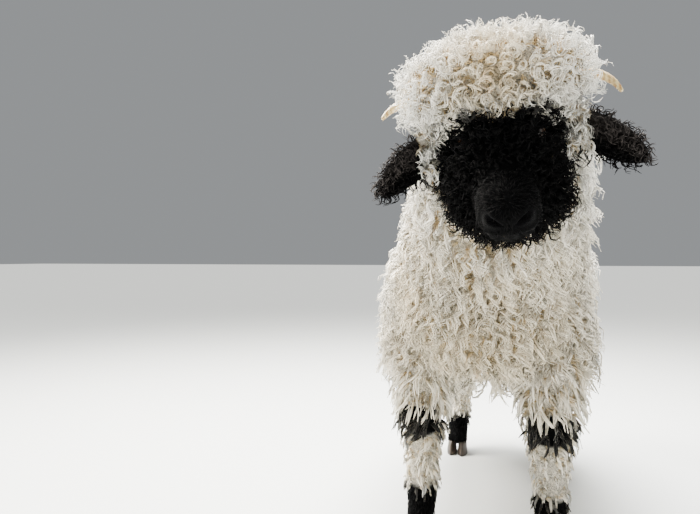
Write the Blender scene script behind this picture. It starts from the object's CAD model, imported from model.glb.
import math

import bmesh
import bpy
import numpy as np
from mathutils import Matrix, Vector
from mathutils.bvhtree import BVHTree


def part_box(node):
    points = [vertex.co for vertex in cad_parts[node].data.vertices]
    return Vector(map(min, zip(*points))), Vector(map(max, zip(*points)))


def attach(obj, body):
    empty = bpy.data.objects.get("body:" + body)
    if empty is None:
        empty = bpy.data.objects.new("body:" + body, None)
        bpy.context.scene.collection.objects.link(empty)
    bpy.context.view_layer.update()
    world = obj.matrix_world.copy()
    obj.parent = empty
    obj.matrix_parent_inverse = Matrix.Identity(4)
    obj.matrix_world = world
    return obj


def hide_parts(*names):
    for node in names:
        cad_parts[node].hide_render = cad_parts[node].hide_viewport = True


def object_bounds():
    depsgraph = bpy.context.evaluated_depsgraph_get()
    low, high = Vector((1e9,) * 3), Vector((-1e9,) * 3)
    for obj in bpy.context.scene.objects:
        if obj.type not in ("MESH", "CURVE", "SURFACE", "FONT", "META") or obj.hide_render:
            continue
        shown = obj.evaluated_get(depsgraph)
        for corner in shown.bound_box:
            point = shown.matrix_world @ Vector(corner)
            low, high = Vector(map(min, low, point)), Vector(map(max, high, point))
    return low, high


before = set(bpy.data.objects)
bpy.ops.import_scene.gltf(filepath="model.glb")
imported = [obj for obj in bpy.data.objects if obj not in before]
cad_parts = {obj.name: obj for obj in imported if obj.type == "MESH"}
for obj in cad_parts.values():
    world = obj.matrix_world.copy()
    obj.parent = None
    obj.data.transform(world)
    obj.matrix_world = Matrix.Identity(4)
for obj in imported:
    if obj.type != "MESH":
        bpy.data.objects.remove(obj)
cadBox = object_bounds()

# A blacknose ewe in full fleece. One skin lies under the wool, and the wool is locks of thin curled
# strands, each one a closed mesh tube, rooted in the skin and laid along the body.
rng = np.random.default_rng(47)


def hexColour(code):
    # an sRGB hex value as linear red, green, blue, alpha
    parts = [int(code[i:i + 2], 16) / 255 for i in (1, 3, 5)]
    return (*[c / 12.92 if c <= 0.04045 else ((c + 0.055) / 1.055) ** 2.4 for c in parts], 1)


def feed(tree, node, inputs):
    # each input gets the socket that feeds it, an sRGB hex or a plain value
    for key, value in inputs.items():
        if isinstance(value, bpy.types.NodeSocket):
            tree.links.new(value, node.inputs[key])
        else:
            node.inputs[key].default_value = hexColour(value) if isinstance(value, str) else value


def addNode(tree, kind, inputs=None, **settings):
    node = tree.nodes.new("ShaderNode" + kind)
    for key, value in settings.items():
        setattr(node, key, value)
    feed(tree, node, inputs or {})
    return node


def mixNode(tree, share, low, high, blend="MIX"):
    settings = {"data_type": "RGBA", "blend_type": blend}
    return addNode(tree, "Mix", {0: share, 6: low, 7: high}, **settings).outputs[2]


def mixValue(tree, share, low, high):
    return addNode(tree, "Mix", {0: share, 2: low, 3: high}, data_type="FLOAT").outputs[0]


def rangeNode(tree, value, low=0.0, high=1.0, toLow=0.0, toHigh=1.0, kind="LINEAR"):
    ends = {"Value": value, "From Min": low, "From Max": high, "To Min": toLow, "To Max": toHigh}
    return addNode(tree, "MapRange", ends, interpolation_type=kind).outputs["Result"]


def mathNode(tree, operation, *inputs, clamp=False):
    return addNode(tree, "Math", dict(enumerate(inputs)), operation=operation, use_clamp=clamp).outputs[0]


def noiseNode(tree, place, size, detail, distortion=0.0):
    # size: metres between the blobs
    inputs = {"Vector": place, "Scale": 1 / size, "Detail": detail, "Distortion": distortion}
    return addNode(tree, "TexNoise", inputs).outputs["Fac"]


def bumpNode(tree, height, strength, distance):
    inputs = {"Height": height, "Strength": strength, "Distance": distance}
    return addNode(tree, "Bump", inputs).outputs["Normal"]


def objectPlace(tree):
    return addNode(tree, "TexCoord").outputs["Object"]


def newMaterial(name):
    mat = bpy.data.materials.new(name)
    mat.use_nodes = True
    return mat, mat.node_tree, mat.node_tree.nodes["Principled BSDF"]


def newObject(name, data):
    piece = bpy.data.objects.new(name, data)
    bpy.context.scene.collection.objects.link(piece)
    return piece


def meshObject(name, bm, material, slotName, replaced=()):
    # a finished piece: at the origin, faces outwards, smooth, riding on the one body
    bmesh.ops.remove_doubles(bm, verts=bm.verts[:], dist=0.00001)
    bm.normal_update()
    bmesh.ops.recalc_face_normals(bm, faces=bm.faces[:])
    mesh = bpy.data.meshes.new(name)
    bm.to_mesh(mesh)
    bm.free()
    mesh.shade_smooth()
    piece = newObject(name, mesh)
    if material:
        mesh.materials.append(material)
    if slotName:
        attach(piece, "root")
    if replaced:
        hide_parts(*replaced)
    return piece


def appliedMesh(piece):
    graph = bpy.context.evaluated_depsgraph_get()
    graph.update()
    mesh = bpy.data.meshes.new_from_object(piece.evaluated_get(graph))
    piece.modifiers.clear()
    piece.data = mesh
    return piece


def meshArrays(mesh):
    mesh.calc_loop_triangles()
    co = np.zeros(len(mesh.vertices) * 3)
    mesh.vertices.foreach_get("co", co)
    up = np.zeros(len(mesh.vertices) * 3)
    mesh.vertex_normals.foreach_get("vector", up)
    tris = np.zeros(len(mesh.loop_triangles) * 3, int)
    mesh.loop_triangles.foreach_get("vertices", tris)
    return co.reshape(-1, 3), up.reshape(-1, 3), tris.reshape(-1, 3)


def sortedMesh(mesh):
    # the remesh and solidify number what they make as it comes, so it is sorted: the same locks each run
    co = meshArrays(mesh)[0]
    order = np.lexsort(np.concatenate([co, np.round(co, 4)], 1).T)
    rank = np.argsort(order).tolist()
    rings = []
    for item in mesh.polygons:
        ring = [rank[i] for i in item.vertices]
        first = ring.index(min(ring))
        rings.append(ring[first:] + ring[:first])
    made = bpy.data.meshes.new(mesh.name)
    made.from_pydata(co[order].tolist(), [], sorted(rings))
    made.shade_smooth()
    return made


def unit(v):
    return v / np.maximum(np.linalg.norm(v, axis=-1, keepdims=True), 1e-9)


def smoothStep(x, low, high):
    s = np.clip((x - low) / (high - low), 0, 1)
    return s * s * (3 - 2 * s)


def into(matrix, points):
    # points in metres, moved into the space of a placed part
    inverse = np.array(matrix.inverted())
    return points @ inverse[:3, :3].T + inverse[:3, 3]


def mirrored(points):
    # points in the head's space, all brought to the ewe's left
    return points * np.array([0, 1, 1]) + np.abs(points) * np.array([1, 0, 0])


def turnedBy(matrix, vectors):
    return vectors @ np.array(matrix)[:3, :3].T


# where the animal stands: all body sizes are in metres, and the eyes say where the head is

headPose = {"place": (0.055, -0.600, 0.725), "yaw": 1, "pitch": 35, "roll": 6}
eyeball = {"centre": (0.0455, -0.002, 0.012), "look": (0.86, -0.48, 0.10), "radius": 0.0135,
           "clearOfWool": 0.0180}


def headFrame(pitch, shift=Vector()):
    yaw = Matrix.Rotation(math.radians(headPose["yaw"]), 4, "Z")
    roll = Matrix.Rotation(math.radians(-headPose["roll"]), 4, "Y")
    nod = Matrix.Rotation(math.radians(pitch), 4, "X")
    return Matrix.Translation(Vector(headPose["place"]) + shift) @ yaw @ roll @ nod


eyeLow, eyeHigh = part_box("eye_left")
stance = (eyeLow + eyeHigh) / 2 - headFrame(headPose["pitch"]) @ Vector(eyeball["centre"])
stance.z = 0
shiftRow = np.array(stance)
head = headFrame(headPose["pitch"], stance)
level = headFrame(0, stance)
knotRise = Matrix.Rotation(math.radians(12), 4, "X")
knotFrame = level @ Matrix.Translation((0, -0.035, 0.034)) @ knotRise

# x, y, z, half width, half height (or depth) of the body, and how deep the core of the fleece is
body = {
    "torso": [
        (0, -0.330, 0.510, 0.080, 0.090, 0.085, 0.070),
        (0, -0.250, 0.520, 0.120, 0.150, 0.100, 0.065),
        (0, -0.120, 0.528, 0.132, 0.165, 0.095, 0.058),
        (0, 0.040, 0.526, 0.148, 0.165, 0.085, 0.056),
        (0, 0.200, 0.535, 0.145, 0.152, 0.082, 0.058),
        (0, 0.320, 0.545, 0.132, 0.145, 0.076, 0.060),
        (0, 0.400, 0.550, 0.095, 0.112, 0.064, 0.060),
    ],
    "neck": [
        (0.000, -0.150, 0.560, 0.100, 0.120, 0.080, 0.070),
        (0.010, -0.290, 0.610, 0.102, 0.120, 0.092, 0.075),
        (0.029, -0.380, 0.665, 0.085, 0.098, 0.088, 0.075),
        (0.043, -0.460, 0.715, 0.070, 0.083, 0.080, 0.068),
        (0.049, -0.530, 0.748, 0.058, 0.070, 0.060, 0.050),
    ],
    "foreleg": [
        (0.105, -0.215, 0.520, 0.050, 0.075, 0.034, 0.034),
        (0.118, -0.208, 0.420, 0.045, 0.058, 0.032, 0.032),
        (0.123, -0.224, 0.340, 0.036, 0.043, 0.029, 0.029),
        (0.124, -0.236, 0.245, 0.029, 0.032, 0.024, 0.024),
        (0.124, -0.238, 0.165, 0.020, 0.023, 0.022, 0.022),
        (0.124, -0.240, 0.092, 0.022, 0.027, 0.016, 0.016),
        (0.124, -0.252, 0.060, 0.022, 0.026, 0.009, 0.009),
        (0.124, -0.265, 0.030, 0.026, 0.032, 0.003, 0.003),
    ],
    "hindleg": [
        (0.090, 0.265, 0.520, 0.070, 0.120, 0.036, 0.036),
        (0.110, 0.245, 0.420, 0.060, 0.095, 0.034, 0.034),
        (0.118, 0.290, 0.340, 0.042, 0.062, 0.029, 0.029),
        (0.123, 0.352, 0.258, 0.029, 0.040, 0.024, 0.024),
        (0.124, 0.356, 0.170, 0.021, 0.026, 0.022, 0.022),
        (0.124, 0.345, 0.094, 0.022, 0.028, 0.016, 0.016),
        (0.124, 0.332, 0.061, 0.022, 0.027, 0.009, 0.009),
        (0.124, 0.318, 0.030, 0.026, 0.032, 0.003, 0.003),
    ],
    "tail": [
        (0, 0.400, 0.635, 0.016, 0.016, 0.028, 0.028),
        (0, 0.458, 0.615, 0.016, 0.014, 0.032, 0.030),
        (0, 0.496, 0.560, 0.014, 0.011, 0.034, 0.030),
        (0, 0.506, 0.470, 0.011, 0.008, 0.034, 0.030),
        (0, 0.502, 0.385, 0.008, 0.006, 0.032, 0.028),
        (0, 0.496, 0.320, 0.005, 0.004, 0.022, 0.020),
    ],
    # in the head's own space, the nose towards -Y
    "skull": [
        (0, -0.134, -0.040, 0.032, 0.030, 0, 0),
        (0, -0.118, -0.038, 0.0385, 0.037, 0, 0),
        (0, -0.095, -0.035, 0.0395, 0.040, 0, 0),
        (0, -0.065, -0.029, 0.038, 0.044, 0, 0),
        (0, -0.032, -0.022, 0.046, 0.053, 0, 0),
        (0, 0.000, -0.013, 0.0575, 0.062, 0, 0),
        (0, 0.035, -0.005, 0.0600, 0.064, 0, 0),
        (0, 0.072, 0.001, 0.0560, 0.058, 0, 0),
        (0, 0.105, 0.002, 0.0420, 0.044, 0, 0),
    ],
}
skin = {"share": 0.45, "voxel": 0.0055, "lump": 0.0030, "buried": 0.0025,
        "hoodCentre": (0, 0.062, -0.006), "hoodRadii": (0.078, 0.050, 0.080),
        "knotCentre": (-0.004, 0.034, 0.096), "knotRadii": (0.118, 0.080, 0.047),
        "cheekCentre": (0, 0.006, -0.060), "cheekRadii": (0.069, 0.054, 0.056)}


def rowsAt(rows, spots):
    # the station rows as a smooth curve, read at any spot from 0 to the last row
    rows = np.array(rows, float)
    last = len(rows) - 1
    spots = np.clip(np.asarray(spots, float), 0, last)
    i = np.minimum(spots.astype(int), last - 1)
    t = (spots - i)[:, None]
    before, a, b, after = (rows[np.clip(i + k, 0, last)] for k in (-1, 0, 1, 2))
    bend = (2 * before - 5 * a + 4 * b - after) * t ** 2 + (3 * a - before - 3 * b + after) * t ** 3
    return 0.5 * (2 * a + (b - before) * t + bend)


def outward(bm):
    bm.normal_update()
    bmesh.ops.recalc_face_normals(bm, faces=bm.faces[:])
    bm.normal_update()
    return bm


def tubeAlong(rows, share, sides, perRow, squareness=2.0, mirror=1, ends=(0.6, 0.6)):
    # a straight tube of rings, extruded ring by ring, then bent and swelled onto the station rows
    last = len(rows) - 1
    spots = np.linspace(0, last, last * perRow + 1)
    turns = np.linspace(0, math.pi / 2, 6)[:-1]
    startCap = [(0, -math.cos(a), math.sin(a)) for a in turns] if ends[0] else []
    endCap = [(last, math.cos(a), math.sin(a)) for a in turns[::-1]] if ends[1] else []
    stops = startCap + [(s, 0, 1) for s in spots] + endCap
    bm = stackedRings(sides, len(stops))
    # where each ring goes
    picked = rowsAt(rows, [stop[0] for stop in stops])
    ahead = rowsAt(rows, [stop[0] + 0.02 for stop in stops])
    behind = rowsAt(rows, [stop[0] - 0.02 for stop in stops])
    flip = np.array([mirror, 1, 1])
    centres = picked[:, :3] * flip
    tangents = unit((ahead - behind)[:, :3] * flip)
    across = unit(np.array([1, 0, 0]) - tangents * tangents[:, :1])
    upward = np.cross(across, tangents)
    half = picked[:, 3:5] + share * picked[:, 5:7]
    for vert in bm.verts:
        i = round(vert.co.z)
        push, girth = stops[i][1], stops[i][2]
        out = half[i].min() * ends[0 if push < 0 else 1] * push
        x, y = (math.copysign(abs(c) ** (2 / squareness), c) for c in vert.co.xy)
        ring = (across[i] * x * half[i][0] + upward[i] * y * half[i][1]) * girth
        vert.co = Vector(centres[i] + tangents[i] * out + ring)
    return outward(bm)


def stackedRings(sides, count):
    # a closed tube of rings, each 1 above the last, so that a point's height says which ring it is on
    bm = bmesh.new()
    made = bmesh.ops.create_circle(bm, cap_ends=False, segments=sides, radius=1)
    rim = list(dict.fromkeys(edge for vert in made["verts"] for edge in vert.link_edges))
    bottom = rim
    for stop in range(1, count):
        grown = bmesh.ops.extrude_edge_only(bm, edges=rim)["geom"]
        bmesh.ops.translate(bm, vec=(0, 0, 1), verts=[g for g in grown if isinstance(g, bmesh.types.BMVert)])
        rim = [g for g in grown if isinstance(g, bmesh.types.BMEdge) and len(g.link_faces) == 1]
    bmesh.ops.contextual_create(bm, geom=bottom)
    bmesh.ops.contextual_create(bm, geom=rim)
    return bm


def ballAt(centre, radii, place):
    bm = bmesh.new()
    bmesh.ops.create_icosphere(bm, subdivisions=4, radius=1)
    bmesh.ops.scale(bm, vec=radii, verts=bm.verts)
    bmesh.ops.translate(bm, vec=centre, verts=bm.verts)
    bmesh.ops.transform(bm, matrix=place, verts=bm.verts)
    return bm


def addInto(target, source):
    spare = bpy.data.meshes.new("spare")
    source.to_mesh(spare)
    source.free()
    target.from_mesh(spare)
    bpy.data.meshes.remove(spare)


def buildBodySkin():
    # torso, neck, legs, tail, cheeks and topknot melt into one closed surface under the wool
    whole = bmesh.new()
    here = Matrix.Translation(stance)
    lofts = [("torso", 1, 28, (0.6, 0.6)), ("neck", 1, 28, (0.6, 0.6)), ("tail", 1, 16, (0.6, 0.6))]
    lofts += [(leg, side, 20, (0.6, 0)) for leg in ("foreleg", "hindleg") for side in (1, -1)]
    for name, side, sides, ends in lofts:
        part = tubeAlong(body[name], skin["share"], sides, 4, mirror=side, ends=ends)
        bmesh.ops.transform(part, matrix=here, verts=part.verts)
        addInto(whole, part)
    inner = [(*row[:3], row[3] - 0.004, row[4] - 0.004, 0, 0) for row in body["skull"][2:]]
    part = tubeAlong(inner, 0, 20, 3, squareness=2.3)
    bmesh.ops.transform(part, matrix=head, verts=part.verts)
    addInto(whole, part)
    addInto(whole, ballAt(skin["hoodCentre"], skin["hoodRadii"], head))
    addInto(whole, ballAt(skin["knotCentre"], skin["knotRadii"], level))
    addInto(whole, ballAt(skin["cheekCentre"], skin["cheekRadii"], level))
    piece = meshObject("skin", whole, None, None)
    melt = piece.modifiers.new("melt", "REMESH")
    melt.mode = "VOXEL"
    melt.voxel_size = skin["voxel"]
    piece.data = sortedMesh(appliedMesh(piece).data)
    ease = piece.modifiers.new("ease", "SMOOTH")
    ease.factor = 0.5
    ease.iterations = 14
    appliedMesh(piece)
    points, normals, tris = meshArrays(piece.data)
    woolly = smoothStep((points - shiftRow)[:, 2], 0.12, 0.30)
    lumps = (wobble(points, 0.011) + 0.6 * wobble(points, 0.026)) * skin["lump"] * woolly
    piece.data.vertices.foreach_set("co", (points + normals * lumps[:, None]).ravel())
    piece.data.update()
    return piece


# the face is a fine loft of the skull, pushed in and out where the features are

face = {
    "nostril": (0.0175, -0.1390, -0.0330), "nostrilSlant": 38, "nostrilLength": 0.0078,
    "nostrilWidth": 0.0030, "nostrilDepth": 0.0085, "wing": 0.0026, "mouthFront": -0.0560,
    "mouthCorner": -0.0500, "mouthReach": 100, "mouthDepth": 0.0036, "lip": 0.0022,
    "cleft": 0.0022, "socket": 0.0035, "brow": 0.0040,
}


def mouthHeight(points):
    # how far round the muzzle a point is (0 in front, 1 at the mouth's corner), and the mouth's height there
    angle = np.arctan2(np.abs(points[:, 0]), -(points[:, 1] + 0.085))
    share = angle / math.radians(face["mouthReach"])
    rise = face["mouthFront"] + (face["mouthCorner"] - face["mouthFront"]) * share ** 2
    return share, rise


def bareness(points):
    # 1 on the naked leather of the nostrils and lips, 0 in the wool (points in the head's space)
    share, rise = mouthHeight(points)
    lips = np.exp(-((points[:, 2] - rise) / 0.006) ** 2) * (1 - smoothStep(share, 0.75, 1.0))
    away = (mirrored(points) - np.array(face["nostril"])) / np.array([0.020, 0.016, 0.014])
    nose = np.exp(-(away ** 2).sum(1) ** 2)
    return np.clip(lips + nose, 0, 1) * smoothStep(-points[:, 1], 0.075, 0.10)


def sculptFace(bm):
    bm.normal_update()
    points = np.array([vert.co for vert in bm.verts])
    normals = np.array([vert.normal for vert in bm.verts])
    side = np.abs(points[:, 0])
    front = smoothStep(-points[:, 1], 0.110, 0.128)
    slant = math.radians(face["nostrilSlant"])
    dx, dz = side - face["nostril"][0], points[:, 2] - face["nostril"][2]
    along = dx * math.cos(slant) + dz * math.sin(slant)
    over = -dx * math.sin(slant) + dz * math.cos(slant) - 14 * along ** 2
    slit = np.exp(-(along / face["nostrilLength"]) ** 4 - (over / face["nostrilWidth"]) ** 2)
    push = -face["nostrilDepth"] * front * slit
    push += face["wing"] * front * np.exp(-(along / 0.012) ** 2 - ((over - 0.0062) / 0.0040) ** 2)
    push += face["wing"] * 0.5 * front * np.exp(-(along / 0.012) ** 2 - ((over + 0.0062) / 0.0035) ** 2)
    share, rise = mouthHeight(points)
    mouth = (1 - smoothStep(share, 0.80, 1.02)) * smoothStep(-points[:, 1], 0.070, 0.085)
    apart = points[:, 2] - rise
    push -= face["mouthDepth"] * mouth * np.exp(-(apart / 0.0016) ** 2)
    push += face["lip"] * mouth * np.exp(-((apart - 0.0052) / 0.0034) ** 2)
    push += face["lip"] * 0.8 * mouth * np.exp(-((apart + 0.0050) / 0.0034) ** 2)
    between = smoothStep(points[:, 2], face["mouthFront"], -0.052)
    between *= 1 - smoothStep(points[:, 2], -0.036, -0.026)
    push -= face["cleft"] * front * between * np.exp(-(side / 0.0018) ** 2)
    gap = mirrored(points) - np.array(eyeball["centre"])
    push -= face["socket"] * np.exp(-(np.linalg.norm(gap, axis=1) / 0.017) ** 4)
    ridge = gap - np.array([-0.006, 0.004, 0.019])
    push += face["brow"] * np.exp(-((ridge / np.array([0.018, 0.024, 0.009])) ** 2).sum(1))
    cheekbone = gap - np.array([0.004, -0.022, -0.026])
    push += 0.003 * np.exp(-((cheekbone / np.array([0.02, 0.030, 0.010])) ** 2).sum(1))
    # small folds that run back from the nostrils
    fold = np.sin((points[:, 1] + 0.35 * points[:, 2]) / 0.0062 * 2 * math.pi)
    push += 0.00035 * fold * np.exp(-((gap - np.array([-0.026, -0.118, -0.030])) ** 2).sum(1) / 0.018 ** 2)
    for vert, place in zip(bm.verts, points + normals * push[:, None]):
        vert.co = Vector(place)


lid = {"steps": 18, "halfWidth": 0.0142, "upper": 0.0100, "lower": 0.0088, "stand": 0.0082, "sink": 0.0026,
       "girth": 0.0026, "swell": 0.0012}


def lidRim(flip, lift):
    # a rolled lid that follows half of the eye's opening
    look = (flip @ Vector(eyeball["look"])).normalized()
    turn = look.to_track_quat("Z", "Y").to_matrix().to_4x4()
    height = lid["upper"] if lift > 0 else lid["lower"]
    arc, girths = [], []
    for i in range(lid["steps"] + 1):
        c, s = math.cos(math.pi * i / lid["steps"]), math.sin(math.pi * i / lid["steps"])
        rim = Vector((c * lid["halfWidth"], lift * s * height, lid["stand"] - lid["sink"] * abs(c)))
        arc.append(flip @ Vector(eyeball["centre"]) + turn @ rim)
        girths.append(lid["girth"] + lid["swell"] * s)
    return pipeAlong(arc, girths, 10)


def pipeAlong(spots, radii, sides, flat=1.0):
    # a round pipe with filled ends through a few dozen spots
    bm = stackedRings(sides, len(spots))
    spots = np.array(spots)
    tangents = unit(np.gradient(spots, axis=0))
    across = [np.cross(tangents[0], (0.13, 0.21, 1.0))]
    for tangent in tangents[1:]:
        across.append(across[-1] - tangent * (across[-1] @ tangent))
    across = unit(np.array(across))
    upward = np.cross(across, tangents)
    for vert in bm.verts:
        i = round(vert.co.z)
        vert.co = Vector(spots[i] + (across[i] * vert.co.x + upward[i] * vert.co.y * flat) * radii[i])
    return outward(bm)


def buildFace():
    bm = tubeAlong(body["skull"], 0, 96, 9, squareness=2.3, ends=(0.55, 0.5))
    sculptFace(bm)
    for side in (1, -1):
        flip = Matrix.Diagonal((side, 1, 1, 1))
        for lift in (1, -1):
            addInto(bm, lidRim(flip, lift))
    bmesh.ops.transform(bm, matrix=head, verts=bm.verts)
    return bm


# an ear is a leaf folded to a cup, thickened, then smoothed

ear = {"root": (0.060, 0.042, 0.034), "outward": (0.95, -0.16, -0.27), "faces": (0.10, -0.90, -0.42),
       "length": 0.133, "droop": 0.038, "halfWidth": 0.029, "cup": 0.016, "thickness": 0.005,
       "whiteTo": 0.118}


def buildEar(side):
    flip = Matrix.Diagonal((side, 1, 1, 1))
    root = flip @ Vector(ear["root"])
    reach = (flip @ Vector(ear["outward"])).normalized()
    faces = flip @ Vector(ear["faces"])
    faces = (faces - reach * faces.dot(reach)).normalized()
    across = reach.cross(faces).normalized()
    bm = bmesh.new()
    bmesh.ops.create_grid(bm, x_segments=14, y_segments=8, size=1)
    for vert in bm.verts:
        t, s = (vert.co.x + 1) / 2, vert.co.y
        half = ear["halfWidth"] * (0.40 + 0.60 * math.sin(math.pi * (0.08 + 0.80 * t)) ** 0.8)
        half *= 1 - 0.55 * max(0, (t - 0.78) / 0.22) ** 2
        cup = ear["cup"] * (1 - 0.55 * t)
        spine = root + reach * ear["length"] * t + Vector((0, 0, -ear["droop"])) * t ** 2
        vert.co = spine + across * half * s + faces * cup * (s * s - 0.4)
    bm.normal_update()
    bmesh.ops.solidify(bm, geom=bm.faces[:], thickness=ear["thickness"])
    bmesh.ops.transform(bm, matrix=level, verts=bm.verts)
    leaf = bpy.data.meshes.new("leaf")
    bm.to_mesh(leaf)
    bm.clear()
    bm.from_mesh(sortedMesh(leaf))
    bm.normal_update()
    bmesh.ops.recalc_face_normals(bm, faces=bm.faces[:])
    bmesh.ops.subdivide_edges(bm, edges=bm.edges[:], cuts=1, use_grid_fill=True)
    for k in range(3):
        bmesh.ops.smooth_vert(bm, verts=bm.verts[:], factor=0.5,
                              use_axis_x=True, use_axis_y=True, use_axis_z=True)
    return bm


def wobble(points, size):
    # a slow uneven value about 0, so that no marking has a ruled edge
    p = points / size
    return (np.sin(p[:, 0] * 2.1 + 1.3 * np.sin(p[:, 1] * 1.7))
            + np.sin(p[:, 1] * 2.3 + 1.1 * np.sin(p[:, 2] * 1.9))
            + np.sin(p[:, 2] * 1.8 + 1.2 * np.sin(p[:, 0] * 2.2))) / 3


def blot(*offsets):
    # 1 in the middle of a patch, 0 beyond its edge
    return np.exp(-sum(offset ** 2 for offset in offsets) ** 2)


def blackness(points):
    uneven = wobble(points, 0.022) * 0.012
    inHead = into(head, points)
    inLevel = into(level, points)
    inKnot = into(knotFrame, points)
    faceBlack = smoothStep(-(inLevel[:, 1] - 0.078) + uneven, -0.004, 0.006)
    faceBlack *= smoothStep(-(inKnot[:, 2] - 0.003) + uneven * 0.5, -0.003, 0.004)
    faceBlack *= 1 - smoothStep(np.abs(inHead[:, 0]) + uneven * 0.6, 0.086, 0.092) * (inHead[:, 2] > -0.035)
    local = points - shiftRow
    side = np.abs(local[:, 0])
    feet = smoothStep(-local[:, 2] + uneven, -0.128, -0.108)
    knee = blot((local[:, 1] + 0.275) / 0.034, (local[:, 2] - 0.245) / 0.034)
    knee *= (side > 0.04) & (local[:, 1] < 0) & (local[:, 2] < 0.34)
    hock = blot((local[:, 1] - 0.400) / 0.034, (local[:, 2] - 0.262) / 0.036)
    hock *= (side > 0.04) & (local[:, 1] > 0) & (local[:, 2] < 0.36)
    dock = blot(local[:, 0] / 0.034, (local[:, 2] - 0.555) / 0.040)
    dock *= local[:, 1] > 0.50
    low = (inHead[:, 1] < 0.09) & (inKnot[:, 2] < 0.02) & (inLevel[:, 1] < 0.11)
    patches = faceBlack * low + feet
    for patch in (knee, hock, dock):
        patches = patches + smoothStep(patch, 0.35, 0.65)
    return np.clip(patches, 0, 1)


def stainAt(points):
    # lanolin and weather: tan in the forelock, cream on chest and belly, clean on the back
    inLevel = into(level, points)
    forelock = np.exp(-((inLevel - np.array([0.0, -0.075, 0.075])) ** 2).sum(1) / 0.070 ** 2)
    local = points - shiftRow
    under = 1 - smoothStep(local[:, 2], 0.42, 0.72)
    chest = smoothStep(-local[:, 1], 0.22, 0.36) * (1 - smoothStep(local[:, 2], 0.60, 0.78))
    white = np.clip(forelock + 0.36 * under + 0.30 * chest + 0.10 * wobble(points, 0.05), 0, 1)
    # on black wool it is the sun's bleaching instead: the ears' upper edges
    ears = smoothStep(np.abs(inLevel[:, 0]), 0.085, 0.13) * smoothStep(inLevel[:, 1], -0.05, 0.02)
    side = np.abs(inLevel[:, 0]) - 0.06
    rim = smoothStep(inLevel[:, 2] + 0.27 * side + 3 * side ** 2, 0.02, 0.05)
    isEar = (np.abs(inLevel[:, 0]) > ear["whiteTo"]) & (inLevel[:, 1] < 0.07)
    isEar &= (inLevel[:, 2] < 0.06) & (local[:, 1] < -0.4)
    others = np.where(blackness(points) > 0.5, 0.06, white)
    return np.where(isEar, np.clip(0.08 + 0.80 * rim * ears, 0, 1), others)


def writeCoatColours(mesh, blacks, tints, alongs, stains):
    layer = mesh.attributes.new("coat", "FLOAT_COLOR", "POINT")
    layer.data.foreach_set("color", np.stack([blacks, tints, alongs, stains], 1).astype(np.float32).ravel())


wool = {
    "deep": "#d2b68a", "cream": "#e0ca9c", "tip": "#fffdf6", "tan": "#e2bb90",
    "black": "#020304", "blackTip": "#060708", "sunned": "#4a4543",
    "roughness": 0.78, "crimp": 0.0016, "patch": 0.045,
}


def woolColour(tree):
    # the coat's colour from its four values: black marking, tint of the lock, share of its length, stain
    mark = addNode(tree, "Attribute", attribute_name="coat")
    parts = addNode(tree, "SeparateColor", {"Color": mark.outputs["Color"]})
    black, tint, along = (parts.outputs[key] for key in ("Red", "Green", "Blue"))
    stain = mark.outputs["Alpha"]
    place = objectPlace(tree)
    low = mixNode(tree, tint, wool["deep"], wool["cream"])
    pale = mixNode(tree, rangeNode(tree, along, 0.08, 0.62, kind="SMOOTHSTEP"), low, wool["tip"])
    creamed = mixNode(tree, rangeNode(tree, stain, toHigh=0.9), pale, wool["cream"])
    dirt = mathNode(tree, "MULTIPLY", stain, noiseNode(tree, place, wool["patch"], 3))
    tanned = mixNode(tree, rangeNode(tree, dirt, 0.42, 0.56, toHigh=0.75), creamed, wool["tan"])
    dark = mixNode(tree, along, wool["black"], wool["blackTip"])
    sunned = mixNode(tree, mathNode(tree, "MULTIPLY", stain, along, clamp=True), dark, wool["sunned"])
    return mixNode(tree, black, tanned, sunned), place, black


def makeWool(name, sheen, shine):
    # curly lamb's wool: matt, soft-edged, the fibres' crimp drawn at 1.6 mm so that it shows
    mat, tree, shader = newMaterial(name)
    colour, place, black = woolColour(tree)
    crimp = noiseNode(tree, place, wool["crimp"], 2)
    feed(tree, shader, {"Base Color": colour, "Normal": bumpNode(tree, crimp, 0.35, 0.0006),
                        "Roughness": wool["roughness"], "IOR": 1.54, "Specular IOR Level": shine,
                        "Sheen Weight": sheen, "Sheen Roughness": 0.45, "Sheen Tint": "#fff6e4"})
    return mat


def makeSkinMaterial(name):
    # short black face hair, bare dark leather at nostrils and lips, felted wool under the locks
    mat, tree, shader = newMaterial(name)
    colour, place, black = woolColour(tree)
    bare = addNode(tree, "Attribute", attribute_name="bare").outputs["Fac"]
    pores = addNode(tree, "TexVoronoi", {"Scale": 1 / 0.0016, "Vector": place}, feature="F1")
    hair = noiseNode(tree, place, 0.0030, 4, 1.5)
    curls = noiseNode(tree, place, 0.0075, 3, 2.5)
    woolly = mixValue(tree, black, mathNode(tree, "MULTIPLY", curls, 5.0), hair)
    relief = mixValue(tree, bare, woolly, pores.outputs["Distance"])
    dips = rangeNode(tree, curls, 0.35, 0.60, toLow=0.45)
    shaded = mixNode(tree, 1.0, colour, dips, "MULTIPLY")
    feed(tree, shader, {"Base Color": mixNode(tree, bare, shaded, "#060607"),
                        "Roughness": rangeNode(tree, bare, toLow=0.85, toHigh=0.50),
                        "Normal": bumpNode(tree, relief, 0.9, 0.0022),
                        "IOR": 1.45, "Specular IOR Level": 0.03})
    return mat


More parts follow.
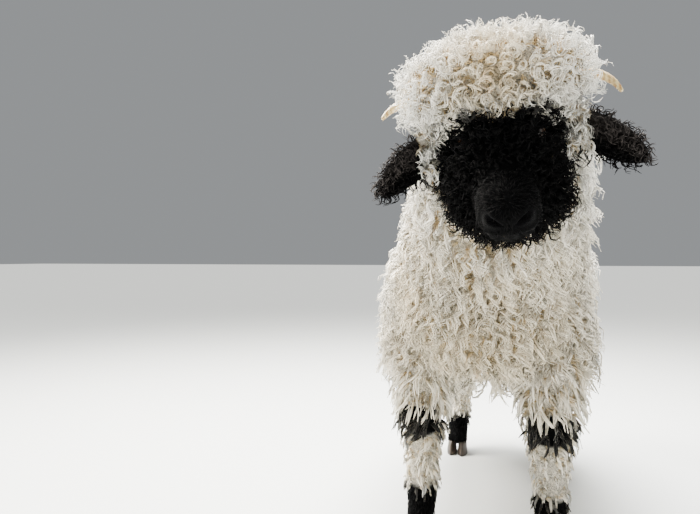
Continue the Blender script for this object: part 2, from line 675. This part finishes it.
def buildSkin():
    piece = buildBodySkin()
    bm = bmesh.new()
    bm.from_mesh(piece.data)
    bodyTree = BVHTree.FromBMesh(bm)
    faceMesh = buildFace()
    faceMesh.faces.ensure_lookup_table()
    faceTree = BVHTree.FromBMesh(faceMesh)
    addInto(bm, faceMesh)
    for side in (1, -1):
        addInto(bm, buildEar(side))
    bm.to_mesh(piece.data)
    bm.free()
    piece.data = mesh = sortedMesh(piece.data)
    points = np.zeros(len(mesh.vertices) * 3)
    mesh.vertices.foreach_get("co", points)
    points = points.reshape(-1, 3)
    inHead = into(head, points)
    blacks = blackness(points)
    inLevel = into(level, points)
    onEar = (np.abs(inLevel[:, 0]) > ear["whiteTo"]) & (inLevel[:, 1] < 0.06) & (inLevel[:, 2] < 0.06)
    blacks = np.where(onEar, 1, blacks)
    tints = 0.5 + 0.5 * wobble(points, 0.03)
    pale = ((points - shiftRow)[:, 2] < 0.36) | (into(knotFrame, points)[:, 2] > 0)
    alongs = np.where(pale, 0.50, 0.42)  # paler between the locks of the legs and the topknot
    writeCoatColours(mesh, blacks, tints, alongs, stainAt(points))
    layer = mesh.attributes.new("bare", "FLOAT", "POINT")
    layer.data.foreach_set("value", (bareness(inHead) * (inHead[:, 1] < -0.07)).astype(np.float32))
    mesh.materials.append(makeSkinMaterial("short face hair over dark skin"))
    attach(piece, "root")
    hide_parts("head", "neck", "torso", "topknot", "tail", "foreleg_left", "foreleg_right",
                "hindleg_left", "hindleg_right", "ear_left", "ear_right")
    return piece, bodyTree, faceTree


skinPiece, bodyTree, faceTree = buildSkin()
print("skin:", len(skinPiece.data.polygons), "faces")


# metres: spacing of the locks, girth of a strand and how flat it is, how far a strand stands off the skin
# (reach) and runs along it (lean), radius of its curl (coil), spread of the lock, sag at the tip
# also: turns of the curl, how many degrees locks spin off the lie, and how the curl tightens to the tip
coatValues = ("spacing", "strands", "steps", "girth", "flat", "reach", "lean",
              "turns", "coil", "spread", "sag", "spin", "tighten")
coatRows = {
    "topknot": (0.0104, 4, 16, 0.00115, 0.8, 0.036, 0.02, 2.1, 0.0056, 0.0038, 0.004, 60, 1.1),
    "temple": (0.0074, 3, 8, 0.0013, 0.8, 0.024, 0.013, 1.2, 0.0036, 0.004, 0.003, 70, 1.0),
    "face": (0.0067, 2, 8, 0.0012, 0.9, 0.029, 0.01, 1.5, 0.0041, 0.0028, 0.002, 60, 1.0),
    "muzzle": (0.0035, 2, 3, 0.0006, 0.6, 0.0018, 0.0065, 0.25, 0.0008, 0.0012, 0, 25, 1.0),
    "chest": (0.0142, 4, 13, 0.0015, 0.6, 0.04, 0.034, 2.3, 0.0056, 0.0042, 0.014, 26, 1.2),
    "neck": (0.0178, 4, 8, 0.0026, 0.6, 0.044, 0.036, 1.4, 0.0064, 0.0085, 0.012, 35, 1.2),
    "torso": (0.0208, 4, 6, 0.0032, 0.5, 0.04, 0.042, 1.2, 0.0062, 0.0112, 0.014, 40, 1.2),
    "leg": (0.016, 3, 4, 0.0034, 0.5, 0.017, 0.024, 0.7, 0.0034, 0.0055, 0.005, 35, 1.1),
    "foot": (0.0062, 1, 3, 0.0014, 0.5, 0.0028, 0.0115, 0.1, 0.0004, 0.001, 0, 15, 1.0),
    "tail": (0.0165, 4, 8, 0.0026, 0.5, 0.026, 0.03, 1.4, 0.005, 0.007, 0.01, 30, 1.2),
    "ear": (0.0058, 2, 7, 0.001, 0.8, 0.014, 0.01, 1.2, 0.0034, 0.0028, 0.003, 55, 1.0),
}
coats = {name: dict(zip(coatValues, row)) for name, row in coatRows.items()}
coatNames = list(coats)


def regionOf(points, normals):
    # the stretch of coat that each point of the skin belongs to, as an index into coatNames
    local = points - shiftRow
    inHead, inLevel, inKnot = into(head, points), into(level, points), into(knotFrame, points)
    side = np.abs(local[:, 0])
    found = np.full(len(points), coatNames.index("torso"))

    def mark(name, where):
        found[where] = coatNames.index(name)

    root, normal = np.array([0, -0.300, 0.620]), unit(np.array([0, -0.83, 0.55]))
    mark("neck", (local - root) @ normal > 0)
    mark("chest", (normals[:, 1] < -0.35) & (local[:, 1] < -0.16) & (local[:, 2] > 0.36))
    legLow = (local[:, 2] < 0.372) & (side > 0.034) & (np.abs(normals[:, 2]) < 0.85)
    mark("leg", legLow | (local[:, 2] < 0.270))
    mark("foot", local[:, 2] < 0.105)
    mark("tail", (local[:, 1] > 0.450) & (side < 0.055) & (local[:, 2] < 0.672))
    onHead = (inLevel[:, 1] < 0.090) & (local[:, 1] < -0.40)
    mark("face", onHead)
    mark("muzzle", onHead & (inHead[:, 1] < -0.098))
    mark("topknot", (inKnot[:, 2] > -0.004) & (inKnot[:, 1] < 0.165) & (local[:, 1] < -0.40))
    out = np.abs(inLevel[:, 0])
    onEar = (out > 0.070) & (inLevel[:, 1] < 0.060) & (inKnot[:, 2] < 0.030) & onHead
    mark("temple", onEar & (out > 0.083))
    mark("ear", onEar & (out > ear["whiteTo"]))
    mark("temple", (out > 0.080) & (inHead[:, 2] > -0.035) & (found == coatNames.index("face")))
    return found


def liesOf(points, normals, regions):
    # the way the coat lies: down and back on the body, out and down from the crown, back from the nose
    local = points - shiftRow
    way = np.stack([0.35 * np.sign(local[:, 0]), np.full(len(points), 0.2), -np.ones(len(points))], 1)
    knot = into(level, points) - np.array(skin["knotCentre"])
    out = turnedBy(level, np.stack([knot[:, 0] * 6, knot[:, 1] * 6 - 0.25, np.full(len(points), -0.8)], 1))
    cheek = into(head, points)
    back = turnedBy(head, np.stack([cheek[:, 0] * 8, np.full(len(points), 0.6), cheek[:, 2] * 4], 1))
    back = back + np.array([0, 0, -0.5])
    away = into(level, points)
    earward = turnedBy(level, np.stack([np.sign(away[:, 0]) * 0.95, np.full(len(points), -0.16),
                                        -0.27 - 3 * (np.abs(away[:, 0]) - 0.06)], 1))
    for name, other in (("topknot", out), ("face", back), ("muzzle", back), ("ear", earward)):
        pick = regions == coatNames.index(name)
        way[pick] = other[pick]
    way = way - normals * (way * normals).sum(1, keepdims=True)
    return unit(way)


def spreadRoots(mesh, name, arrays):
    # random places on the skin, no more than one to a small box of space, so that they are evenly spread
    co, up, tris = arrays
    spacing = coats[name]["spacing"]
    corners = co[tris]
    centres = corners.mean(1)
    regions = regionOf(centres, unit(up[tris].mean(1)))
    tris = tris[regions == coatNames.index(name)]
    corners = co[tris]
    areas = np.linalg.norm(np.cross(corners[:, 1] - corners[:, 0], corners[:, 2] - corners[:, 0]), axis=1) / 2
    total = areas.sum()
    wanted = int(total / spacing ** 2 * 4) + 1
    picked = rng.choice(len(tris), wanted, p=areas / total)
    a, b = rng.random(wanted), rng.random(wanted)
    over = a + b > 1
    a[over], b[over] = 1 - a[over], 1 - b[over]
    shares = np.stack([1 - a - b, a, b], 1)[:, :, None]
    points = (corners[picked] * shares).sum(1)
    normals = unit((up[tris[picked]] * shares).sum(1))
    cells = np.floor(points / spacing).astype(np.int64)
    keys = (cells[:, 0] * 100003 + cells[:, 1]) * 100019 + cells[:, 2]
    first = np.unique(keys, return_index=True)[1]
    return points[first], normals[first]


def hidden(points):
    # roots on a part of one surface that lies inside another
    buried = []
    for point in points:
        inside = False
        for tree in (bodyTree, faceTree):
            near, normal, index, gap = tree.find_nearest(Vector(point))
            if gap > skin["buried"] and (Vector(point) - near).dot(normal) < 0:
                inside = True
        buried.append(inside)
    return np.array(buried)


def unwrapPlace(points, name):
    # the skin's own unwrap: round the part and along it, each leg and ear in its own share of the square
    local = points - shiftRow
    if name in ("topknot", "temple", "face", "muzzle"):
        if name == "topknot":
            inside = into(level, points) - np.array(skin["knotCentre"])
            around = np.arctan2(inside[:, 0], -inside[:, 1])
            along = np.arctan2(inside[:, 2], np.hypot(inside[:, 0], inside[:, 1])) / math.pi + 0.5
        else:
            inside = into(head, points)
            around = np.arctan2(inside[:, 0], inside[:, 2] + 0.03)
            along = (inside[:, 1] + 0.16) / 0.32
    elif name in ("leg", "foot"):
        fore = local[:, 1] < 0
        axis = np.where(fore, -0.232, 0.315)
        around = np.arctan2(np.abs(local[:, 0]) - 0.122, local[:, 1] - axis)
        along = local[:, 2] / 0.42
        quarter = np.where(fore, 0, 0.5) + np.where(local[:, 0] > 0, 0, 0.25)
        u = quarter + 0.01 + 0.23 * (around / (2 * math.pi) + 0.5)
        return np.stack([u, 0.02 + 0.96 * np.clip(along, 0, 1)], 1)
    elif name == "ear":
        inside = into(level, points)
        half = np.where(inside[:, 0] > 0, 0, 0.5)
        back = np.where(inside[:, 1] > -0.010 - 0.3 * (np.abs(inside[:, 0]) - 0.06), 0.25, 0)
        along = (np.abs(inside[:, 0]) - 0.05) / 0.17
        across = (inside[:, 2] + 0.35 * (np.abs(inside[:, 0]) - 0.06) + 0.04) / 0.12
        u = half + back + 0.01 + 0.23 * np.clip(across, 0, 1)
        return np.stack([u, 0.02 + 0.96 * np.clip(along, 0, 1)], 1)
    else:
        around = np.arctan2(local[:, 0], local[:, 2] - 0.53)
        along = (local[:, 1] + 0.56) / 1.12
        if name == "tail":
            around = np.arctan2(local[:, 0], local[:, 1] - 0.49)
            along = (local[:, 2] - 0.28) / 0.40
    return np.stack([0.02 + 0.96 * (around / (2 * math.pi) + 0.5), 0.02 + 0.96 * np.clip(along, 0, 1)], 1)


def growLocks(points, normals, lies, coat, sizes):
    # centre lines of all strands: each lock shares its curl, and its strands draw together at the tip
    count, strands, steps = len(points), coat["strands"], coat["steps"]
    spin = np.radians(rng.uniform(-coat["spin"], coat["spin"], count))[:, None]
    lies = unit(lies * np.cos(spin) + np.cross(normals, lies) * np.sin(spin))
    across = np.cross(lies, normals)
    perLock = {
        "reach": coat["reach"] * rng.uniform(0.80, 1.10, count) * sizes,
        "lean": coat["lean"] * rng.uniform(0.65, 1.25, count) * sizes,
        "phase": rng.uniform(0, 2 * math.pi, count),
        "turns": coat["turns"] * rng.uniform(0.75, 1.2, count) * rng.choice([-1, 1], count),
        "coil": coat["coil"] * rng.uniform(0.65, 1.2, count) * np.sqrt(sizes),
        "tint": rng.random(count),
    }
    lock = {key: np.repeat(value, strands)[:, None, None] for key, value in perLock.items()}
    many = count * strands
    root, up, lie, side = (np.repeat(v, strands, axis=0)[:, None, :] for v in (points, normals, lies, across))
    t = np.linspace(0, 1, steps + 1)[None, :, None]
    apart = rng.normal(0, coat["spread"] * 0.6, (2, many, 1, 1))
    apart = apart * np.repeat(np.sqrt(sizes), strands)[None, :, None, None]
    stray = rng.uniform(0.82, 1.12, (many, 1, 1))
    strayPhase = rng.normal(0, 0.40, (many, 1, 1))
    gather = 1 - 0.62 * t
    spine = root - up * min(0.004, 0.25 * coat["reach"]) + (side * apart[0] + lie * apart[1]) * gather
    spine = spine + up * lock["reach"] * stray * (1 - (1 - t) ** 1.5)
    spine = spine + lie * lock["lean"] * stray * t ** 1.7
    spine[:, :, 2:] -= coat["sag"] * t ** 2.2
    forward = unit(np.gradient(spine, axis=1))
    e1 = np.broadcast_to(side, spine.shape)
    e2 = np.cross(forward, e1)
    angle = lock["phase"] + strayPhase + 2 * math.pi * lock["turns"] * t ** coat["tighten"]
    radial = e1 * np.cos(angle) + e2 * np.sin(angle)
    swell = np.clip(t / 0.25, 0, 1) * (0.70 + 0.55 * t ** 2)
    path = spine + radial * lock["coil"] * swell
    tangent = unit(np.gradient(path, axis=1))
    f1 = unit(radial - tangent * (radial * tangent).sum(-1, keepdims=True))
    f2 = np.cross(tangent, f1)
    girth = coat["girth"] * rng.uniform(0.8, 1.2, (many, 1, 1)) * (1 - 0.72 * t ** 2.5)
    corners = (0, 2 * math.pi / 3, 4 * math.pi / 3)
    rings = [path + (f1 * math.cos(a) * coat["flat"] + f2 * math.sin(a)) * girth for a in corners]
    return np.stack(rings, 2), np.repeat(perLock["tint"], strands)


# a strand's patch on the bake map, the most triangles a piece gets, and how far strands may pass the CAD
# box: a share of its sides and some metres more
limits = {"patch": 0.003, "triangles": 190000, "pastShare": 0.02, "past": 0.007}


def coatPiece(name, verts, tints, blacks, stains, places, steps, material, slotName):
    # joins the strands into one mesh, each closed at both ends, with its small patch on the bake map
    many = len(verts)
    perStrand = (steps + 1) * 3
    i, k = np.meshgrid(np.arange(steps), np.arange(3), indexing="ij")
    i, k = i.ravel(), k.ravel()
    quad = np.stack([i * 3 + k, i * 3 + (k + 1) % 3, (i + 1) * 3 + (k + 1) % 3, (i + 1) * 3 + k], 1)
    caps = np.array([[2, 1, 0], [perStrand - 3, perStrand - 2, perStrand - 1]])
    loops = np.concatenate([quad.ravel(), caps.ravel()])
    offsets = (np.arange(many) * perStrand)[:, None]
    allLoops = (loops[None] + offsets).ravel()
    sizes = np.tile(np.array([4] * len(quad) + [3, 3]), many)
    starts = np.concatenate([[0], np.cumsum(sizes)[:-1]])
    mesh = bpy.data.meshes.new(name)
    mesh.vertices.add(many * perStrand)
    mesh.vertices.foreach_set("co", verts.reshape(-1).astype(np.float32))
    mesh.loops.add(len(allLoops))
    mesh.loops.foreach_set("vertex_index", allLoops.astype(np.int32))
    mesh.polygons.add(len(sizes))
    mesh.polygons.foreach_set("loop_start", starts.astype(np.int32))
    mesh.update(calc_edges=True)
    # patch: round the strand across it, root to tip up it
    u = np.stack([k, k + 1, k + 1, k], 1).ravel() / 3
    v = np.stack([i, i, i + 1, i + 1], 1).ravel() / steps
    u = np.concatenate([u, [0.1, 0.5, 0.9, 0.1, 0.5, 0.9]]) - 0.5
    v = np.concatenate([v, [0, 0.05, 0, 1, 0.95, 1]]) - 0.5
    uv = np.stack([u, v], 1)[None] * limits["patch"] + places[:, None, :]
    layer = mesh.uv_layers.new(name="OFBake")
    layer.data.foreach_set("uv", uv.reshape(-1).astype(np.float32))
    along = np.tile(np.repeat(np.linspace(0, 1, steps + 1), 3), many)
    blacks, tints, stains = (np.repeat(values, perStrand) for values in (blacks, tints, stains))
    writeCoatColours(mesh, blacks, tints, along, stains)
    mesh.shade_smooth()
    mesh.materials.append(material)
    piece = newObject(name, mesh)
    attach(piece, "root")
    return piece


def shrinkOf(points, name):
    # locks get shorter towards the muzzle, down the legs and at the tail's tip
    local = points - shiftRow
    if name == "face":
        inHead = into(head, points)
        back = 0.26 + 0.74 * smoothStep(inHead[:, 1], -0.098, -0.025)
        jaw = 1.15 * smoothStep(-inHead[:, 2], 0.032, 0.058) * smoothStep(inHead[:, 1], -0.118, -0.085)
        return np.maximum(back, jaw)
    if name == "leg":
        return 0.70 + 1.10 * smoothStep(local[:, 2], 0.15, 0.36)
    if name == "neck":
        return 1 - 0.42 * smoothStep(-local[:, 0], 0.02, 0.10)
    if name in ("torso", "chest"):
        low = np.exp(-((local[:, 1] + 0.20) / 0.14) ** 2 - ((local[:, 2] - 0.43) / 0.08) ** 2)
        high = smoothStep(local[:, 2], 0.54, 0.62) * smoothStep(-local[:, 0], 0.03, 0.09)
        high *= local[:, 1] < -0.2
        return 1 + 0.16 * low * smoothStep(np.abs(local[:, 0]), 0.08, 0.16) - 0.40 * high
    if name == "tail":
        return 0.6 + 0.4 * smoothStep(local[:, 2], 0.30, 0.42)
    return np.ones(len(points))


def coatOver(piece):
    fleece = makeWool("curly lamb's wool, white", 0.18, 0.22)
    blackWool = makeWool("curly lamb's wool, black", 0.0, 0.05)
    arrays = meshArrays(piece.data)
    low, high = (np.array(corner) for corner in cadBox)
    spare = (high - low) * limits["pastShare"] + limits["past"]
    roomLow, roomHigh = low - spare, high + spare
    total = 0
    for name, coat in coats.items():
        points, normals = spreadRoots(piece.data, name, arrays)
        keep = ~hidden(points)
        if name in ("face", "muzzle"):
            inHead = into(head, points)
            eyeGap = np.linalg.norm(mirrored(inHead) - np.array(eyeball["centre"]), axis=1)
            keep &= (eyeGap > eyeball["clearOfWool"]) & (bareness(inHead) < 0.35)
        points, normals = points[keep], normals[keep]
        regions = np.full(len(points), coatNames.index(name))
        lies = liesOf(points, normals, regions)
        verts, tints = growLocks(points, normals, lies, coat, shrinkOf(points, name))
        strands, steps = coat["strands"], coat["steps"]
        blacks = np.ones(len(points)) if name == "ear" else blackness(points + normals * 0.004)
        if name == "temple":  # black and white hairs mixed look grey
            blacks = np.maximum(blacks, 0.75 * rng.random(len(points)) ** 2)
        blacks, stains = np.repeat(blacks, strands), np.repeat(stainAt(points), strands)
        places = np.repeat(unwrapPlace(points, name), strands, axis=0)
        near = ((verts > roomLow) & (verts < roomHigh)).all((1, 2, 3))  # strands inside the model's own box
        values = [row[near] for row in (verts, tints, blacks, stains, places)]
        each = steps * 6 + 2
        count = near.sum()
        groups = math.ceil(count * each / limits["triangles"])
        order = np.array_split(np.arange(count), groups)
        isBlack = name in ("face", "muzzle", "ear", "foot")
        for number, pick in enumerate(order):
            label = f"wool_{name}" + (f"_{number + 1}" if groups > 1 else "")
            coatPiece(label, *(row[pick] for row in values), steps, blackWool if isBlack else fleece,
                      "black_wool" if isBlack else "fleece")
        total += count * each
        print(f"coat {name}: {len(points)} locks, {count * each} triangles, {groups} pieces")
    print("coat in all:", total, "triangles")


coatOver(skinPiece)


def makeEyeMaterial():
    # a wet eye: dark amber iris, black bar of a pupil, clear tear film over it
    mat, tree, shader = newMaterial("wet eye, dark amber")
    place = addNode(tree, "UVMap", uv_map="gaze").outputs["UV"]
    gaze = addNode(tree, "VectorMath", {0: place, 1: (0.5, 0.5, 0.0)}, operation="SUBTRACT").outputs[0]
    away = addNode(tree, "VectorMath", {0: gaze}, operation="LENGTH").outputs["Value"]
    wide = addNode(tree, "VectorMath", {0: gaze, 1: (1.0, 2.6, 1.0)}, operation="MULTIPLY").outputs[0]
    bar = addNode(tree, "VectorMath", {0: wide}, operation="LENGTH").outputs["Value"]
    iris = mixNode(tree, noiseNode(tree, gaze, 1 / 38, 3), "#170b05", "#2e1b0d")
    inner = mixNode(tree, rangeNode(tree, bar, 0.155, 0.175), "#020203", iris)
    whole = mixNode(tree, rangeNode(tree, away, 0.27, 0.31), inner, "#1a1210")
    feed(tree, shader, {"Base Color": whole, "Roughness": 0.10, "IOR": 1.38, "Specular IOR Level": 0.30,
                        "Coat Weight": 0.25, "Coat Roughness": 0.03})
    return mat


def buildEye(side, material):
    flip = Matrix.Diagonal((side, 1, 1, 1))
    look = (flip @ Vector(eyeball["look"])).normalized()
    turn = look.to_track_quat("Z", "Y").to_matrix().to_4x4()
    bm = bmesh.new()
    bmesh.ops.create_uvsphere(bm, u_segments=40, v_segments=28, radius=1)
    for vert in bm.verts:
        bulge = 1 + 0.055 * math.exp(-(vert.co.xy.length / 0.62) ** 4) * (vert.co.z > 0)
        vert.co = vert.co * (eyeball["radius"] * 0.97 * bulge)
    gaze = bm.loops.layers.uv.new("gaze")
    for item in bm.faces:
        for loop in item.loops:
            loop[gaze].uv = [c / eyeball["radius"] / 2.1 + 0.5 for c in loop.vert.co.xy]
    place = head @ Matrix.Translation(flip @ Vector(eyeball["centre"])) @ turn
    bmesh.ops.transform(bm, matrix=place, verts=bm.verts)
    name = "left" if side == 1 else "right"
    return meshObject(f"wet_eye_{name}", bm, material, "eye", (f"eye_{name}",))


eyeMaterial = makeEyeMaterial()
for side in (1, -1):
    buildEye(side, eyeMaterial)
print("eyes done")


horn = {"path": [(0.030, 0.062, 0.060), (0.068, 0.066, 0.082), (0.105, 0.064, 0.097), (0.138, 0.058, 0.098),
                 (0.163, 0.050, 0.087), (0.178, 0.043, 0.073)],
        "shorter": {"left": 0.012, "right": 0.004}, "lower": {"left": 0.015, "right": -0.003},
        "base": 0.0148, "tip": 0.0030, "flat": 0.82, "rings": 22, "steps": 110, "ridge": 0.008}


def makeHornMaterial():
    # horn keratin: waxy, pale straw with brown growth lines, browner underneath and at the root
    mat, tree, shader = newMaterial("pale horn keratin")
    place = addNode(tree, "UVMap", uv_map="length")
    parts = addNode(tree, "SeparateXYZ", {"Vector": place.outputs["UV"]})
    ring = mathNode(tree, "SINE", mathNode(tree, "MULTIPLY", parts.outputs["X"], horn["rings"] * 2 * math.pi))
    mixed = mathNode(tree, "MULTIPLY_ADD", ring, 0.10, noiseNode(tree, objectPlace(tree), 0.006, 5))
    straw = mixNode(tree, rangeNode(tree, mixed, 0.25, 0.72), "#a97b3e", "#ecd9a4")
    whole = mixNode(tree, rangeNode(tree, parts.outputs["Y"], 0.62, 0.95), straw, "#8a4f22")
    feed(tree, shader, {"Base Color": whole, "Normal": bumpNode(tree, mixed, 0.5, 0.0008),
                        "Roughness": 0.42, "IOR": 1.55})
    return mat


def buildHorn(side, material):
    name = "left" if side == 1 else "right"
    spots = np.linspace(0, len(horn["path"]) - 1, horn["steps"] + 1)
    bent = np.linspace(0, 1, len(horn["path"]))[:, None] ** 2
    path = np.array(horn["path"]) - np.array([horn["shorter"][name], 0, horn["lower"][name]]) * bent
    line = rowsAt(path, spots) * np.array([side, 1, 1])
    t = spots / spots[-1]
    radii = horn["tip"] + (horn["base"] - horn["tip"]) * (1 - t ** 1.4)
    radii *= 1 + horn["ridge"] * np.sin(t * horn["rings"] * 2 * math.pi) * (1 - t)
    onward = line[-1:] - line[-2:-1]
    line = np.concatenate([line, line[-1:] + onward * 0.9, line[-1:] + onward * 1.5])
    radii = np.concatenate([radii, [radii[-1] * 0.72, radii[-1] * 0.3]])
    bm = pipeAlong(line, radii, 28, flat=horn["flat"])
    length = bm.loops.layers.uv.new("length")
    reach = path[-1][0]
    for item in bm.faces:
        for loop in item.loops:
            t = (abs(loop.vert.co.x) - 0.03) / (reach - 0.03)
            low = rowsAt(path, [max(0, min(1, t)) * (len(path) - 1)])[0][2] - loop.vert.co.z
            loop[length].uv = (t, 0.5 + low / 0.03)
    bmesh.ops.transform(bm, matrix=level, verts=bm.verts)
    return meshObject(f"ringed_horn_{name}", bm, material, "horn", (f"horn_{name}",))


hornMaterial = makeHornMaterial()
for side in (1, -1):
    buildHorn(side, hornMaterial)
print("horns done")


# rows: height, girth as a share of the sole's, how far along its backward lean
claw = {"halfLength": 0.0330, "halfWidth": 0.0135, "apart": 0.0150, "lean": 0.0080, "narrow": 0.38,
        "lines": 0.0025,
        "rows": [(0, 0.97, 0), (0.0012, 1.0, 0.01), (0.010, 0.99, 0.1), (0.017, 0.95, 0.32),
                 (0.024, 0.90, 0.55), (0.030, 0.855, 0.8), (0.0358, 0.80, 1.0)],
        "feet": {"foreleg": (0.124, -0.270), "hindleg": (0.124, 0.313)}}


def makeClawMaterial():
    # hoof horn: dark, satin, with level growth lines and scuffed dusty edges
    mat, tree, shader = newMaterial("dark hoof horn")
    place = objectPlace(tree)
    waves = {"Scale": 1 / claw["lines"] / (2 * math.pi) * 0.314, "Distortion": 2.5, "Detail": 2,
             "Detail Scale": 2}
    lines = addNode(tree, "TexWave", {**waves, "Vector": place}, wave_type="BANDS", bands_direction="Z")
    tone = mixNode(tree, noiseNode(tree, place, 0.008, 5), "#1c1612", "#4a3d31")
    feed(tree, shader, {"Base Color": mixNode(tree, 0.22, tone, "#0f0c0a"),
                        "Normal": bumpNode(tree, lines.outputs["Fac"], 0.5, 0.0006),
                        "Roughness": 0.5, "IOR": 1.55})
    return mat


def buildClaw(leg, side, which, material):
    foot = claw["feet"][leg]
    apart = claw["apart"] * (1 if which == "outer" else -1)
    centre = Vector((side * (foot[0] + apart), foot[1], 0)) + stance
    bm = stackedRings(36, len(claw["rows"]))
    for vert in bm.verts:
        height, share, back = claw["rows"][round(vert.co.z)]
        c, s = vert.co.x, vert.co.y
        narrow = 1 - claw["narrow"] * max(0, -s) ** 1.5
        vert.co = centre + Vector((claw["halfWidth"] * share * c * narrow,
                                   claw["halfLength"] * share * s + claw["lean"] * back, height))
    name = f"{leg}_{'left' if side == 1 else 'right'}_{which}"
    return meshObject(f"hoof_{name}", bm, material, "claw", (f"claw_{name}",))


clawMaterial = makeClawMaterial()
for leg in ("foreleg", "hindleg"):
    for side in (1, -1):
        for which in ("outer", "inner"):
            buildClaw(leg, side, which, clawMaterial)
print("claws done")


def buildStage():
    bm = bmesh.new()
    bmesh.ops.create_grid(bm, x_segments=2, y_segments=2, size=40)
    mesh = bpy.data.meshes.new("floor")
    bm.to_mesh(mesh)
    bm.free()
    floor = newObject("floor", mesh)
    mat, tree, shader = newMaterial("matt studio floor")
    feed(tree, shader, {"Base Color": "#b0b2b1", "Roughness": 0.9})
    mesh.materials.append(mat)
    world = bpy.data.worlds.new("studio")
    bpy.context.scene.world = world
    world.use_nodes = True
    feed(world.node_tree, world.node_tree.nodes["Background"], {"Color": "#dfe3e6", "Strength": 0.42})


def addLight(name, place, aim, size, watts, colour, kind="AREA"):
    lamp = bpy.data.lights.new(name, kind)
    if kind == "SUN":
        lamp.angle = math.radians(size)
    else:
        lamp.shape = "DISK"
        lamp.size = size
    lamp.energy = watts
    lamp.color = hexColour(colour)[:3]
    holder = newObject(name, lamp)
    holder.location = place
    holder.rotation_euler = (Vector(aim) - Vector(place)).to_track_quat("-Z", "Y").to_euler()


camera = {"bearing": 3, "away": 0.76, "height": 0.57, "turn": 14.0, "sensor": 36, "lens": 31.2}


def placeCamera():
    # close in front of the face, level with the chest, turned so that the head stands right of the middle
    rightLow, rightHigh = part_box("eye_right")
    eyes = (eyeLow + eyeHigh + rightLow + rightHigh) / 4
    muzzle = eyes + Vector((0.010, -0.100, -0.100))
    bearing = math.radians(camera["bearing"])
    back = Vector((math.sin(bearing), -math.cos(bearing), 0)) * camera["away"]
    place = Vector((muzzle.x, muzzle.y, 0)) + back
    place.z = camera["height"]
    look = Vector((eyes.x - place.x, eyes.y - place.y, 0)).normalized()
    look = Matrix.Rotation(math.radians(camera["turn"]), 3, "Z") @ look
    lens = bpy.data.cameras.new("photo camera")
    lens.sensor_width = camera["sensor"]
    lens.lens = camera["lens"]
    lens.clip_start = 0.05
    holder = newObject("photo camera", lens)
    holder.location = place
    holder.rotation_euler = look.to_track_quat("-Z", "Y").to_euler()
    bpy.context.scene.camera = holder


buildStage()
addLight("key", (-1.7, 0.2, 2.4), (0, -0.3, 0.6), 1.3, 400, "#fffaf0")
addLight("top", (-0.2, 0.8, 2.6), (0, -0.3, 0.6), 1.5, 700, "#fffdf8")
addLight("ceiling", (-0.3, 0.5, 2.6), (0, -0.3, 0.6), 50, 7, "#fffdf8", "SUN")  # even light, far floor too
addLight("fill", (1.8, -2.2, 1.4), (0, -0.3, 0.5), 2.0, 18, "#f4f5f0")
placeCamera()
print("stage done")
